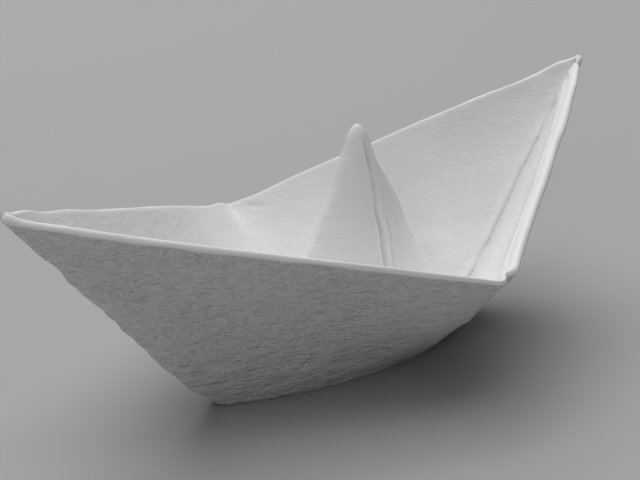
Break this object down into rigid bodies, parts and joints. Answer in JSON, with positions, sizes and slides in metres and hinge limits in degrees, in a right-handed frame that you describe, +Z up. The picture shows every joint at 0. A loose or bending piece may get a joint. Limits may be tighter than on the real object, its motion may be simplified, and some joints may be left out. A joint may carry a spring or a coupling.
{
  "type": "folded paper boat",
  "caption": "Paper boat folded from a single sheet: a double-ended open hull with raised tips, folded rims and a hollow pointed peak amidships.",
  "frame": {"origin": "on the surface that the bottom folds stand on, under the middle of the boat", "axes": "+X from bow to stern, +Y to the far wall, +Z up"},
  "size_m": [0.1772, 0.1022, 0.0629],
  "materials": {
    "paper": "matte"
  },
  "bodies": {
    "root": {"folded_sheet": "paper"}
  },
  "joints": []
}
